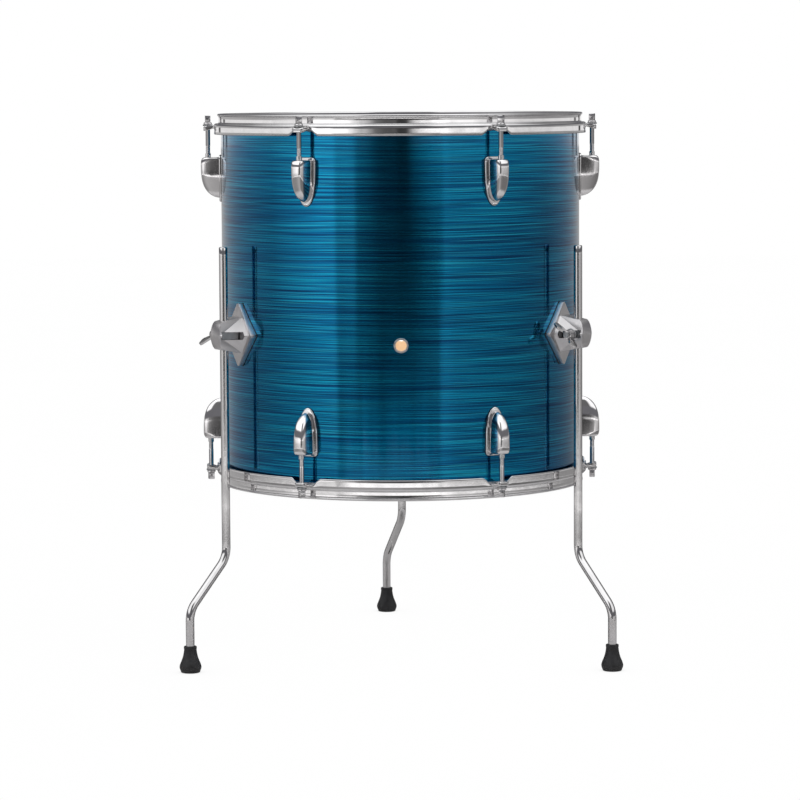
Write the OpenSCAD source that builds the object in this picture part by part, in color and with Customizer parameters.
// Floor tom drum: a wrapped plywood shell, two tunable heads held by
// triple-flanged hoops, twelve lugs and three adjustable bent legs.
// Origin: centre of the batter head's playing surface.
// +Z is up, -Y is the front (the side with the air vent), +X is right.
// Angles round the drum are measured from the front towards +X.

/* [Shell] */
// Outside diameter of the wooden shell
shell_d = 406.4; // [380:0.1:430]
// Length of the shell between its two bearing edges
shell_len = 406.4; // [380:0.1:440]
// Thickness of the plywood
ply_t = 6.5; // [5.5:0.1:8]
// Thickness of the decorative wrap
wrap_t = 0.5; // [0.4:0.05:0.6]
// Height of the air vent below the batter head
vent_drop = 243.7; // [215:0.1:260]
// Diameter of the clear hole through the vent
vent_bore = 12; // [8:0.5:13]

/* [Heads and hoops] */
// Thickness of the head film
film_t = 0.25; // [0.2:0.01:0.3]
// Height of the hoop rim above the playing surface
rim_h = 6.5; // [5:0.1:9]
// Thickness of the hoop steel
hoop_t = 1.6; // [1.4:0.1:1.8]
// Depth of the hoop skirt below the playing surface
skirt_drop = 16.8; // [15:0.1:19]
// Width of the gap in the skirt at its lower edge, at each ear
notch_w = 32; // [28:1:38]

/* [Tension rods and lugs] */
// Tension rod places on each head (the rods themselves are nodes 1 to 6)
rod_count = 6; // [6:2:8]
// Distance of a rod's axis outside the wrapped shell
rod_out = 14.9; // [14.5:0.1:15.3]
// Diameter of the rod's thread
rod_d = 5.3; // [5:0.1:5.6]
// Size of the square key head across its flats
key_w = 6.2; // [5.6:0.1:6.6]
// Length of the rod below its flange
rod_len = 52; // [47:1:55]
// Length of a lug body
lug_len = 45.6; // [44:0.2:50]
// Width of a lug body
lug_w = 17.6; // [16.4:0.2:18.4]
// Width of a lug base flange
lug_base_w = 23.6; // [22:0.2:26]

/* [Legs] */
// Height of the leg brackets below the batter head
bracket_drop = 238; // [225:1:250]
// Width of the diamond plate
plate_w = 60; // [54:1:64]
// Height of the diamond plate
plate_h = 69.6; // [66:0.2:74]
// Diameter of the leg rod
leg_d = 9.5; // [9:0.1:9.6]
// Distance of the leg's axis outside the wrapped shell
leg_out = 23.3; // [22.8:0.1:23.8]
// Sideways offset of the foot from the leg's straight part
leg_offset = 56; // [44:1:64]
// Angle of the slanted part from the vertical
leg_slant = 46; // [38:1:55]
// Centre-line radius of the two bends
bend_r = 27; // [20:1:30]
// Height of the leg's top end below the batter head
leg_top_drop = 140; // [120:1:180]
// Height of the floor below the batter head
floor_drop = 609.4; // [606:0.1:640]
// How far each leg is turned from straight out: left, right, rear
leg_turn = [16, -20.7, 20.3]; // [-40:0.1:40]
// How far each wing nut leans from upright, its lower wing outward: left, right, rear
wing_turn = [52, 44, 35]; // [-60:1:60]

/* [Hidden] */
$fn = 96;
gap = 0.02;                    // hairline clearance between touching pieces
wood_r = shell_d / 2;
wrap_r = wood_r + wrap_t;
inner_r = wood_r - ply_t;
mid_z = -film_t - shell_len / 2;
rod_circle_r = wrap_r + rod_out;
leg_circle_r = wrap_r + leg_out;
gasket_r = wrap_r + 0.5;       // outer face of the gaskets
rod_angles = [for (i = [0 : rod_count - 1]) 180 / rod_count + i * 360 / rod_count];

// Order of the legs in every list
left = 0;
right = 1;
rear = 2;
leg_angles = [-60, 60, 180];

// Bearing edge: its narrow flat lies between these distances in from the outside
peak_in = 2.3;
peak_out = 1.9;
wrap_short = 3.2;              // wood left bare at each end of the shell
vent_wall = 0.7;
vent_flange_t = 0.9;
vent_inset = 1.2;              // reach of the vent inside the shell

// Heights at the top end. The bottom end is a mirror copy about mid_z.
shelf_z = -4.3;                // top of the hoop's shelf
flesh_z0 = -11.6;              // flesh hoop, lower and upper faces
flesh_z1 = shelf_z - hoop_t - 0.05;
ear_z1 = -7.4;                 // ear, upper face
ear_web_t = 2;
ear_z0 = ear_z1 - ear_web_t;   // ear, lower face of its web
washer_z1 = ear_z1 + 1.8;
flange_z1 = washer_z1 + 2.6;
key_z1 = 4.5;
rod_z0 = washer_z1 - rod_len;
neck_z1 = -38.5;               // swivel nut, top of its neck
lug_z1 = -43.4;                // lug body, wide end
lug_z0 = lug_z1 - lug_len;     // lug body, narrow end
base_z1 = -40.2;               // lug base flange
base_z0 = lug_z0 - 4.4;
nut_z1 = lug_z1 - 3.05;        // swivel nut, shoulder
nut_z0 = nut_z1 - 13.5;
lug_screws_z = [lug_z1 - 8.1, lug_z1 - 37.6];

film_r = wrap_r + 0.3;         // film collar, inside
collar_r = film_r + film_t;    // film collar, outside
wall_r0 = wrap_r + 0.9;        // hoop wall, inside
skirt_r1 = wrap_r + 7.7;       // hoop skirt, outside
skirt_r0 = skirt_r1 - hoop_t;
shelf_bend_r = 2.6;            // outside radius of the bend from shelf to skirt
notch_top_w = 16;
ear_r1 = rod_circle_r + 4.9;   // outer end of the ear
ear_w = 13;
ear_h = 5.4;                   // depth of the ear's turned-down sides
ear_wall_t = 1.8;

lug_r1 = wrap_r + 23.2;        // furthest point of the lug
lug_crown_r = 10.2;
lug_hole_depths = [8.6, 9.4];  // screw holes, upper and lower
barrel_r = 4.2;                // swivel nut barrel and the sleeve below it
neck_r = 3.2;

bracket_z = -bracket_drop;
bracket_screws_z = [bracket_z - 25, bracket_z + 25];
plate_r1 = wrap_r + 6.0;       // plate front face
plate_corner_r = 3.2;
housing_r1 = wrap_r + 34.7;    // outer end of the bracket housing
housing_w = 23;                // width of the housing at its outer end
housing_base_w = 49;           // width of the housing at the plate
housing_end_h = 15.8;          // half-height of the outer end
bow_depth = 5.4;               // how far the outer end is bowed
seat_x = 17.2;                 // flat seat for the wing nut, from the middle
slot_h = 8.8;                  // height of the clamp slot
bush_r = leg_d / 2 + 1.2;      // leg bush, outside
eye_r = leg_d / 2 + 0.6;       // hole for the leg in the clamp block
eye_shift = -0.55;             // the block is pulled against the leg
bolt_r = 3;

foot_h = 29.4;
leg_tip_h = 1;                 // chamfered top of the leg
leg_z1 = -leg_top_drop;
foot_z0 = -floor_drop;
leg_z0 = foot_z0 + 9.4;        // lower end of the steel rod
bend_side = bend_r * (1 - cos(leg_slant));  // outward travel of one bend
bend_fall = bend_r * sin(leg_slant);        // height of one bend
slant_len = (leg_offset - 2 * bend_side) / sin(leg_slant);
bend2_z = foot_z0 + 57.4;      // lower end of the lower bend
bend1_z = bend2_z + 2 * bend_fall + slant_len * cos(leg_slant);

// Colours
polished = "#d4d6d9";
rod_steel = "#c9ccd0";
flesh_grey = "#b9bcc0";
rod_washer_grey = "#b8babd";
screw_grey = "#b4b6b9";
screw_washer_grey = "#a9abae";
lug_silver = "#dfe1e4";
bracket_silver = "#d9dbde";
bolt_grey = "#c2c5c9";
brass = "#c9b26a";
off_white = "#e8e6df";
gasket_black = "#1b1b1d";
foot_black = "#161617";

// ---- placing helpers -------------------------------------------------
// Pieces are drawn at the front, with -Y outwards, then turned into place.
module around(angle) rotate([0, 0, angle]) children();
module at_rods() for (a = rod_angles) around(a) children();
module at_legs() for (a = leg_angles) around(a) children();
module at_bracket(leg) around(leg_angles[leg]) children();
// Mirror from the top end to the bottom end
module flip() translate([0, 0, 2 * mid_z]) mirror([0, 0, 1]) children();
module both_ends() {
  children();
  flip() children();
}
// Cylinder pointing outwards between two radii of the drum, at height z
module radial(start_r, end_r, radius, z)
  translate([0, -start_r, z]) rotate([90, 0, 0]) cylinder(h = end_r - start_r, r = radius);
// Upright cylinder on the rod circle
module upright(z0, z1, radius)
  translate([0, -rod_circle_r, z0]) cylinder(h = z1 - z0, r = radius);
// Upright cylinder on the drum's axis
module core(z0, z1, radius) translate([0, 0, z0]) cylinder(h = z1 - z0, r = radius);
// Extrude an x/z outline outwards between two radii
module outward(start_r, end_r)
  translate([0, -start_r, 0]) rotate([90, 0, 0]) linear_extrude(end_r - start_r) children();
// Extrude a radius/z outline sideways, centred
module sideways(width)
  translate([width / 2, 0, 0]) rotate([90, 0, -90]) linear_extrude(width) children();
function reversed(list) = [for (i = [len(list) - 1 : -1 : 0]) list[i]];

// ---- shell -----------------------------------------------------------
module shell_hole(radius, z) radial(inner_r - 6, wrap_r + 3, radius, z);
module shell_holes() {
  at_rods() both_ends() for (z = lug_screws_z) shell_hole(2.6, z);
  at_legs() for (z = bracket_screws_z) shell_hole(2.9, z);
  shell_hole(vent_bore / 2 + vent_wall + 0.05, -vent_drop);
}

// Half outline of one shell end, from inside to outside; side is 1 at the top, -1 below
function bearing_edge(side) = [
  [inner_r, side * (shell_len / 2 - (ply_t - peak_in))],
  [wood_r - peak_in, side * shell_len / 2],
  [wood_r - peak_out, side * shell_len / 2],
  [wood_r, side * (shell_len / 2 - peak_out)]];

module drum_shell() color("#c79a63") difference() {
  translate([0, 0, mid_z]) rotate_extrude()
    polygon(concat(bearing_edge(1), reversed(bearing_edge(-1))));
  shell_holes();
}

module shell_wrap() color("#0f6f97") difference() {
  translate([0, 0, mid_z - shell_len / 2 + wrap_short]) difference() {
    cylinder(h = shell_len - 2 * wrap_short, r = wrap_r);
    translate([0, 0, -1]) cylinder(h = shell_len, r = wood_r + gap);
  }
  shell_holes();
}

// Eyelet: tube through the shell, outer flange with a bevelled mouth, inner flange
module vent_grommet() color("silver")
  translate([0, 0, -vent_drop]) rotate([90, 0, 0]) rotate_extrude() difference() {
    union() {
      translate([vent_bore / 2, inner_r - vent_inset]) square([vent_wall, ply_t + wrap_t + 2]);
      translate([vent_bore / 2, wrap_r + gap]) square([2.1, vent_flange_t]);
      translate([vent_bore / 2, inner_r - vent_inset]) square([2, vent_flange_t]);
    }
    translate([vent_bore / 2 - 0.5, wrap_r + gap + vent_flange_t])
      rotate(-45) square([1.1, 0.5], center = true);
  }

// ---- heads -----------------------------------------------------------
// [radius, z]: flat playing surface, roll over the bearing edge and straight
// collar down the outer face, then back along the inner face
film_outline = [
  [0, 0], [wood_r - peak_out, 0], [wood_r - 1.1, -0.22], [wood_r - 0.2, -0.9],
  [collar_r - 0.15, -2.1], [collar_r, -3.4], [collar_r, flesh_z0 + 0.6],
  [film_r, flesh_z0 + 0.6], [film_r, -3.4], [film_r - 0.15, -2.2],
  [wood_r - 0.4, -1.15], [wood_r - 1.2, -0.47], [wood_r - 1.85, -film_t], [0, -film_t]];
module film() rotate_extrude() polygon(film_outline);
module batter_head_film() color("#f2f0ea") film();
module resonant_head_film() color("#e4e8ea") flip() film();

module flesh_hoop() rotate_extrude() difference() {
  translate([collar_r + gap, flesh_z0])
    square([skirt_r0 - 0.9 - collar_r, flesh_z1 - flesh_z0]);
  // channel groove on the outside
  translate([skirt_r0 - 1.7, flesh_z0 + 1.6]) square([3, 2.2]);
}
module batter_flesh_hoop() color(flesh_grey) flesh_hoop();
module resonant_flesh_hoop() color(flesh_grey) flip() flesh_hoop();

// ---- hoops -----------------------------------------------------------
module hoop_outline() {
  bead_r = (hoop_t + 1.4) / 2;
  bend_start_r = skirt_r1 - shelf_bend_r;
  skirt_z0 = -skirt_drop + hoop_t / 2;
  // wall and rim bead
  translate([wall_r0, shelf_z - hoop_t]) square([hoop_t, rim_h - bead_r - shelf_z + hoop_t]);
  translate([wall_r0 + bead_r, rim_h - bead_r]) circle(r = bead_r);
  // shelf
  translate([wall_r0, shelf_z - hoop_t]) square([bend_start_r - wall_r0, hoop_t]);
  // bend from shelf to skirt
  intersection() {
    translate([bend_start_r, shelf_z - shelf_bend_r]) difference() {
      circle(r = shelf_bend_r);
      circle(r = shelf_bend_r - hoop_t);
    }
    translate([bend_start_r, shelf_z - shelf_bend_r]) square(shelf_bend_r + 1);
  }
  // skirt with a rounded lower edge
  translate([skirt_r0, skirt_z0]) square([hoop_t, shelf_z - shelf_bend_r - skirt_z0]);
  translate([skirt_r1 - hoop_t / 2, skirt_z0]) circle(r = hoop_t / 2);
}

// Gap in the skirt: wide at the skirt's lower edge, swept in to the ear.
// One side of it as [x, z] from the top down; side is 1 or -1.
function notch_side(side, steps = 8) = [for (i = [0 : steps]) let (
  top_z = ear_z0 - 0.2,
  angle = 90 * i / steps)
  [side * (notch_top_w / 2 + (notch_w - notch_top_w) / 2 * (1 - cos(angle))),
   top_z - (skirt_drop + top_z) * sin(angle)]];
module notch() {
  low_x = notch_w / 2 + 1.5;
  low_z = -skirt_drop - 1;
  outward(wall_r0 + 3, skirt_r1 + 3) polygon(concat(
    notch_side(1), [[low_x, low_z], [-low_x, low_z]], reversed(notch_side(-1))));
}

// Ear: flat tab with turned-down sides and a hole for the rod
module ear_plan(width, end_r) {
  translate([-width / 2, -end_r + width / 2 - 1])
    square([width, end_r - width / 2 + 1 - (skirt_r1 - 1)]);
  // rounded outer end
  intersection() {
    translate([0, -end_r + width / 2 + 0.6]) circle(r = width / 2 + 0.6);
    translate([-width / 2, -end_r - 1]) square([width, width]);
  }
}
module ear() difference() {
  union() {
    translate([0, 0, ear_z1 - ear_h]) linear_extrude(ear_h) ear_plan(ear_w, ear_r1);
    // root of the ear, joining it to the skirt bend
    translate([-ear_w / 2, -skirt_r1, ear_z0]) cube([ear_w, 1.6, 2.6]);
  }
  // hollow underside
  translate([0, 0, ear_z0 - 6]) linear_extrude(6) intersection() {
    ear_plan(ear_w - 2 * ear_wall_t, ear_r1 - ear_wall_t);
    translate([-10, -ear_r1 - 1]) square([20, ear_r1 + 1 - skirt_r1 - 0.2]);
  }
  // nothing below the web inside the skirt
  translate([-10, -skirt_r1 + gap - 1, ear_z1 - 9]) cube([20, 30, 6.99]);
  upright(ear_z0 - 5, ear_z1 + 5, rod_d / 2 + 0.55);
}
module hoop() difference() {
  union() {
    difference() {
      rotate_extrude() hoop_outline();
      at_rods() notch();
    }
    at_rods() ear();
  }
  // flat seats for the rod heads where they pass the shelf bend
  at_rods() upright(ear_z1, ear_z1 + 12, 6.4);
}
module top_hoop() color(polished) hoop();
module bottom_hoop() color(polished) flip() hoop();

// ---- tension rods ----------------------------------------------------
module rod() {
  seat_z = washer_z1 + 0.03;
  // square key head with a round top
  translate([-key_w / 2, -rod_circle_r - key_w / 2, flange_z1 - 0.4])
    cube([key_w, key_w, key_z1 - flange_z1 - 0.2]);
  upright(key_z1 - 1.2, key_z1, key_w / 2 - 0.35);
  // flange
  upright(seat_z, flange_z1, 4.7);
  // threaded length and its narrower tip
  upright(rod_z0 + 1, seat_z + 0.2, rod_d / 2);
  upright(rod_z0, rod_z0 + 1.2, rod_d / 2 - 0.6);
}
module top_tension_rod(number) color(rod_steel) around(rod_angles[number - 1]) rod();
module bottom_tension_rod(number) flip() top_tension_rod(number);

module rod_washer() difference() {
  upright(ear_z1 + 0.03, washer_z1, 5.6);
  upright(ear_z1 - 1, washer_z1 + 1, rod_d / 2 + 0.25);
}
module top_rod_washers() color(rod_washer_grey) at_rods() rod_washer();
module bottom_rod_washers() color(rod_washer_grey) flip() at_rods() rod_washer();

// ---- lugs ------------------------------------------------------------
// Bullet outline in x/z: chamfered wide end up, sides closing to a round narrow end
function bullet(width, z1, z0, corner = 2.2, steps = 22) = let (
  shoulder = width / 2 - corner,
  bevel = corner * 0.29,
  side = [for (i = [0 : steps]) let (
    down = 1 - pow(1 - i / steps, 1.6),
    half_w = width / 2 * (1 - 0.07 * down) * pow(1 - pow(down, 4.2), 0.52))
    [half_w, z1 - corner - (z1 - z0 - corner) * down]])
  concat([[shoulder, z1], [width / 2 - bevel, z1 - bevel]], side,
    [for (i = [steps - 1 : -1 : 0]) [-side[i][0], side[i][1]]],
    [[-width / 2 + bevel, z1 - bevel], [-shoulder, z1]]);

// Side view of the lug body, as [radius, z]: blunt wide end, belly, falling to the base
belly_drop = 8;                // start of the belly below the wide end
function belly(steps = 16) = [for (i = [0 : steps]) let (down = i / steps)
  [gasket_r + (lug_r1 - gasket_r) * pow(1 - pow(down, 3), 0.5),
   lug_z1 - belly_drop - (lug_len - belly_drop) * down]];
module lug_side() polygon(concat(
  [[wrap_r - 4, lug_z1], [lug_r1 - 3.4, lug_z1], [lug_r1 - 1.5, lug_z1 - 1.6],
   [lug_r1 - 0.5, lug_z1 - 4]],
  belly(), [[wrap_r - 4, lug_z0 - 0.01]]));
// Rounded front, seen from above
module lug_crown() {
  crown_y = -(lug_r1 - lug_crown_r);
  translate([0, crown_y, lug_z0 - 1]) cylinder(h = lug_len + 2, r = lug_crown_r);
  translate([-lug_w, crown_y, lug_z0 - 1]) cube([2 * lug_w, 30, lug_len + 2]);
}
module lug() {
  bore_r = barrel_r + 0.2;
  bore_z0 = nut_z0 - 13;
  difference() {
    union() {
      intersection() {
        outward(wrap_r - 3, lug_r1 + 2) polygon(bullet(lug_w, lug_z1, lug_z0));
        sideways(lug_w + 4) lug_side();
        lug_crown();
      }
      outward(wrap_r - 3, gasket_r + 2)
        polygon(bullet(lug_base_w, base_z1, base_z0, corner = 4));
    }
    // back follows the shell
    core(base_z0 - 1, base_z1 + 1, gasket_r + gap);
    // nut barrel, its neck and the opening it goes in by
    upright(bore_z0, nut_z1 + 0.05, bore_r);
    upright(nut_z1 - 2, lug_z1 + 2, neck_r + 0.2);
    translate([-bore_r, -rod_circle_r, bore_z0]) cube([2 * bore_r, 20, 16]);
    for (i = [0, 1]) radial(wrap_r - 4, gasket_r + lug_hole_depths[i], 2.05, lug_screws_z[i]);
  }
}

// Everything outside and inside the thin curved layer that a gasket fills
module gasket_trim(z0, z1, clear_r) {
  difference() {
    core(z0, z1, clear_r);
    core(z0 - 1, z1 + 1, gasket_r);
  }
  core(z0, z1, wrap_r + gap);
}
module lug_gasket() difference() {
  outward(wrap_r - 3, gasket_r + 2)
    polygon(bullet(lug_base_w + 0.8, base_z1 + 0.4, base_z0 - 0.4, corner = 4));
  gasket_trim(base_z0 - 2, base_z1 + 2, wrap_r + 6);
  for (z = lug_screws_z) radial(wrap_r - 4, gasket_r + 4, 2.6, z);
}

module swivel_nut() difference() {
  union() {
    upright(nut_z0, nut_z1, barrel_r);
    upright(nut_z1 - 1, neck_z1, neck_r);
  }
  upright(nut_z0 - 1, neck_z1 + 1, rod_d / 2 + 0.05);
}
module nut_sleeve() difference() {
  upright(nut_z0 - 12.6, nut_z0 - 0.1, barrel_r);
  upright(nut_z0 - 14, nut_z0 + 1, rod_d / 2 + 0.45);
}

// Screw with its head inside the shell, and the washer under the head
module screw(z, radius, head_r, tip_r) {
  radial(inner_r - 3.6, inner_r - 1.15, head_r, z);
  radial(inner_r - 1.35, tip_r, radius, z);
}
module screw_washer(z, radius, hole_r) difference() {
  radial(inner_r - 1.1, inner_r - 0.1, radius, z);
  radial(inner_r - 3, inner_r + 3, hole_r, z);
}

module top_lugs() color(lug_silver) at_rods() lug();
module bottom_lugs() color(lug_silver) flip() at_rods() lug();
module top_lug_gaskets() color(gasket_black) at_rods() lug_gasket();
module bottom_lug_gaskets() color(gasket_black) flip() at_rods() lug_gasket();
module top_swivel_nuts() color(brass) at_rods() swivel_nut();
module bottom_swivel_nuts() color(brass) flip() at_rods() swivel_nut();
module top_nut_sleeves() color(off_white) at_rods() nut_sleeve();
module bottom_nut_sleeves() color(off_white) flip() at_rods() nut_sleeve();
module lug_screws() color(screw_grey) both_ends() at_rods()
  for (z = lug_screws_z) screw(z, radius = 2, head_r = 3.7, tip_r = gasket_r + 7.8);
module lug_screw_washers() color(screw_washer_grey) both_ends() at_rods()
  for (z = lug_screws_z) screw_washer(z, radius = 5, hole_r = 2.2);

// ---- leg brackets ----------------------------------------------------
// Plate outline with rounded corners, grown all round by margin
module diamond(margin = 0) {
  half_w = plate_w / 2 + margin - plate_corner_r;
  half_h = plate_h / 2 + margin - plate_corner_r;
  translate([0, bracket_z]) hull()
    for (corner = [[0, half_h], [0, -half_h], [half_w, 0], [-half_w, 0]])
      translate(corner) circle(r = plate_corner_r, $fn = 32);
}

// Side view of the housing, as [radius, z]: tapers outwards and has a bowed end
function bow(steps = 10) = [for (i = [0 : steps]) let (angle = -90 + 180 * i / steps)
  [housing_r1 - bow_depth + bow_depth * cos(angle), bracket_z + housing_end_h * sin(angle)]];
module housing_side() polygon(concat([[plate_r1 - 2, bracket_z - 20.6]],
  bow(), [[plate_r1 - 2, bracket_z + 20.6]]));
// Thin slab across the bracket, widest at mid-height, its corners cut back to half-width cut_x
module slab(start_r, half_w, half_h, cut_x)
  translate([0, 0, bracket_z]) outward(start_r, start_r + 0.1) polygon([
    [half_w, 0.3], [cut_x, half_h], [-cut_x, half_h], [-half_w, 0.3],
    [-half_w, -0.3], [-cut_x, -half_h], [cut_x, -half_h], [half_w, -0.3]]);
// Housing: wide ridge at mid-height closing to the blunt outer end
module housing() intersection() {
  union() {
    hull() {
      slab(plate_r1 - 2, housing_base_w / 2 + 1, 21, 9.6);
      slab(housing_r1, housing_w / 2, 1, housing_w / 2 - 1);
    }
    hull() {
      slab(plate_r1 - 2, 11, 21, 9.6);
      slab(housing_r1, housing_w / 2, housing_end_h, 8.6);
    }
  }
  sideways(80) housing_side();
}

// Move to where the leg's axis crosses the bracket's mid-height
module at_clamp(x = 0, z = 0) translate([x, -leg_circle_r, bracket_z + z]) children();
// The same, at x on the clamp bolt's axis, with +Z turned to -X and +X turned up
module along_bolt(x) at_clamp(x) rotate([0, -90, 0]) children();

module bracket() difference() {
  union() {
    outward(wrap_r - 8, plate_r1) diamond();
    housing();
  }
  core(bracket_z - 60, bracket_z + 60, gasket_r + gap);
  // seats for the two halves of the bush, lips at both ends
  at_clamp(z = -40) cylinder(h = 80, r = leg_d / 2 + 0.25);
  at_clamp(z = -15) cylinder(h = 30, r = bush_r + 0.05);
  // slot for the clamp block, open on both sides
  translate([-40, -housing_r1 + 2.6, bracket_z - slot_h / 2]) cube([80, 22.4, slot_h]);
  for (z = bracket_screws_z) radial(wrap_r - 4, plate_r1 - 1.6, 2.55, z);
  // flat seat for the washer, and a hollow in the plate's corner that the wings turn in
  along_bolt(-seat_x) cylinder(h = 12, r = 7.6);
  along_bolt(-seat_x - 6) cylinder(h = 30, r = 19.1);
}
module bracket_gasket() difference() {
  outward(wrap_r - 8, gasket_r + 4) diamond(0.5);
  gasket_trim(bracket_z - 60, bracket_z + 60, wrap_r + 12);
  for (z = bracket_screws_z) radial(wrap_r - 8, gasket_r + 4, 2.9, z);
}
// Two half-length bushes above and below the clamp slot
module bush() for (side = [-1, 1]) at_clamp(z = side * 10) difference() {
  cylinder(h = 9.9, r = bush_r, center = true);
  cylinder(h = 12, r = leg_d / 2 + 0.05, center = true);
}
// Clamp block round the leg with a stem towards -X
module clamp_bolt() at_clamp(eye_shift) difference() {
  union() {
    translate([-11, -8, -slot_h / 2 + 0.25]) cube([22, 20.4, slot_h - 0.5]);
    rotate([0, -90, 0]) cylinder(h = 29, r = bolt_r);
  }
  cylinder(h = 30, r = eye_r, center = true);
}
module clamp_washer() along_bolt(-seat_x - 0.05) difference() {
  cylinder(h = 1.1, r = 6.6);
  translate([0, 0, -1]) cylinder(h = 4, r = bolt_r + 0.3);
}

// Circles that span one wing: [distance from the bolt axis, distance along it, radius]
wing_circles = [[3.2, 2.6, 1.6], [4.4, 7.2, 1.2], [11.5, 13.2, 3.4], [14.8, 11.9, 3.8]];
wing_t = 2.4;
module wing() rotate([90, 0, 0]) translate([0, 0, -wing_t / 2]) linear_extrude(wing_t) hull()
  for (spot = wing_circles) translate([spot[0], spot[1]]) circle(r = spot[2], $fn = 32);
// Hub with two wings, turned about the bolt
module wing_nut(turn) along_bolt(-seat_x - 1.2) rotate([0, 0, turn]) difference() {
  union() {
    cylinder(h = 2, r = 5.8);
    cylinder(h = 8.4, r1 = 5.6, r2 = 4.7);
    for (a = [0, 180]) rotate([0, 0, a]) wing();
  }
  translate([0, 0, -1]) cylinder(h = 30, r = bolt_r + 0.05);
}

module left_leg_bracket() color(bracket_silver) at_bracket(left) bracket();
module right_leg_bracket() color(bracket_silver) at_bracket(right) bracket();
module rear_leg_bracket() color(bracket_silver) at_bracket(rear) bracket();
module bracket_gaskets() color(gasket_black) at_legs() bracket_gasket();
module bracket_screws() color(screw_grey) at_legs()
  for (z = bracket_screws_z) screw(z, radius = 2.5, head_r = 4.6, tip_r = plate_r1 - 2.2);
module bracket_screw_washers() color(screw_washer_grey) at_legs()
  for (z = bracket_screws_z) screw_washer(z, radius = 6, hole_r = 2.7);
module clamp_washers() color(rod_steel) at_legs() clamp_washer();
module left_leg_bush() color(off_white) at_bracket(left) bush();
module right_leg_bush() color(off_white) at_bracket(right) bush();
module rear_leg_bush() color(off_white) at_bracket(rear) bush();
module left_clamp_bolt() color(bolt_grey) at_bracket(left) clamp_bolt();
module right_clamp_bolt() color(bolt_grey) at_bracket(right) clamp_bolt();
module rear_clamp_bolt() color(bolt_grey) at_bracket(rear) clamp_bolt();
module left_wing_nut() color(polished) at_bracket(left) wing_nut(wing_turn[left]);
module right_wing_nut() color(polished) at_bracket(right) wing_nut(wing_turn[right]);
module rear_wing_nut() color(polished) at_bracket(rear) wing_nut(wing_turn[rear]);

// ---- legs ------------------------------------------------------------
// Leg frame: Z is the axis of the straight part, -Y points towards the foot
module at_leg(leg) at_bracket(leg)
  translate([0, -leg_circle_r, 0]) rotate([0, 0, leg_turn[leg]]) children();
module bend(radius)
  rotate_extrude(angle = leg_slant) translate([bend_r, 0]) circle(r = radius);
module leg_rod() {
  radius = leg_d / 2;
  slant_top = [0, -bend_side, bend1_z - bend_fall];
  slant_end = [0, -leg_offset + bend_side, bend2_z + bend_fall];
  // straight part and its chamfered top
  translate([0, 0, bend1_z]) cylinder(h = leg_z1 - leg_tip_h - bend1_z, r = radius);
  translate([0, 0, leg_z1 - leg_tip_h]) cylinder(h = leg_tip_h, r1 = radius, r2 = radius - 0.9);
  // upper bend, curving outwards
  multmatrix([[0, 0, -1, 0], [1, 0, 0, -bend_r], [0, -1, 0, bend1_z], [0, 0, 0, 1]])
    bend(radius);
  translate(slant_top) rotate([180 - leg_slant, 0, 0]) cylinder(h = slant_len, r = radius);
  // lower bend, back to upright
  multmatrix([[0, 0, -1, 0], [-1, 0, 0, -leg_offset + bend_r], [0, 1, 0, bend2_z], [0, 0, 0, 1]])
    bend(radius);
  translate([0, -leg_offset, leg_z0]) cylinder(h = bend2_z - leg_z0, r = radius);
  // faint swell where the slanted part meets each bend
  for (joint = [slant_top, slant_end]) translate(joint) sphere(r = radius + 0.03);
}

// [radius, height above the floor] of the bell-shaped foot
foot_outline = [
  [0, 0], [9.6, 0], [10.9, 1.1], [12.1, 5.2], [12.2, 6.8], [11.6, 9.2], [10.3, 12.4],
  [8.8, 16], [7.7, 20], [7.0, 24], [6.7, 28.6], [6.2, foot_h], [0, foot_h]];
// Foot with a blind hole for the rod
module foot() translate([0, -leg_offset, foot_z0]) difference() {
  rotate_extrude() polygon(foot_outline);
  translate([0, 0, 9.35]) cylinder(h = 30, r = leg_d / 2 + gap);
}
module left_leg_rod() color(polished) at_leg(left) leg_rod();
module right_leg_rod() color(polished) at_leg(right) leg_rod();
module rear_leg_rod() color(polished) at_leg(rear) leg_rod();
module left_foot() color(foot_black) at_leg(left) foot();
module right_foot() color(foot_black) at_leg(right) foot();
module rear_foot() color(foot_black) at_leg(rear) foot();

// ---- parts -----------------------------------------------------------
drum_shell();
shell_wrap();
vent_grommet();
batter_head_film();
batter_flesh_hoop();
top_hoop();
top_rod_washers();
resonant_head_film();
resonant_flesh_hoop();
bottom_hoop();
bottom_rod_washers();
top_tension_rod(1);  // top_tension_rod_1
top_tension_rod(2);  // top_tension_rod_2
top_tension_rod(3);  // top_tension_rod_3
top_tension_rod(4);  // top_tension_rod_4
top_tension_rod(5);  // top_tension_rod_5
top_tension_rod(6);  // top_tension_rod_6
bottom_tension_rod(1);  // bottom_tension_rod_1
bottom_tension_rod(2);  // bottom_tension_rod_2
bottom_tension_rod(3);  // bottom_tension_rod_3
bottom_tension_rod(4);  // bottom_tension_rod_4
bottom_tension_rod(5);  // bottom_tension_rod_5
bottom_tension_rod(6);  // bottom_tension_rod_6
top_lugs();
bottom_lugs();
top_lug_gaskets();
bottom_lug_gaskets();
top_swivel_nuts();
bottom_swivel_nuts();
top_nut_sleeves();
bottom_nut_sleeves();
lug_screws();
lug_screw_washers();
left_leg_bracket();
right_leg_bracket();
rear_leg_bracket();
bracket_gaskets();
bracket_screws();
bracket_screw_washers();
clamp_washers();
left_leg_bush();
right_leg_bush();
rear_leg_bush();
left_clamp_bolt();
right_clamp_bolt();
rear_clamp_bolt();
left_wing_nut();
right_wing_nut();
rear_wing_nut();
left_leg_rod();
right_leg_rod();
rear_leg_rod();
left_foot();
right_foot();
rear_foot();
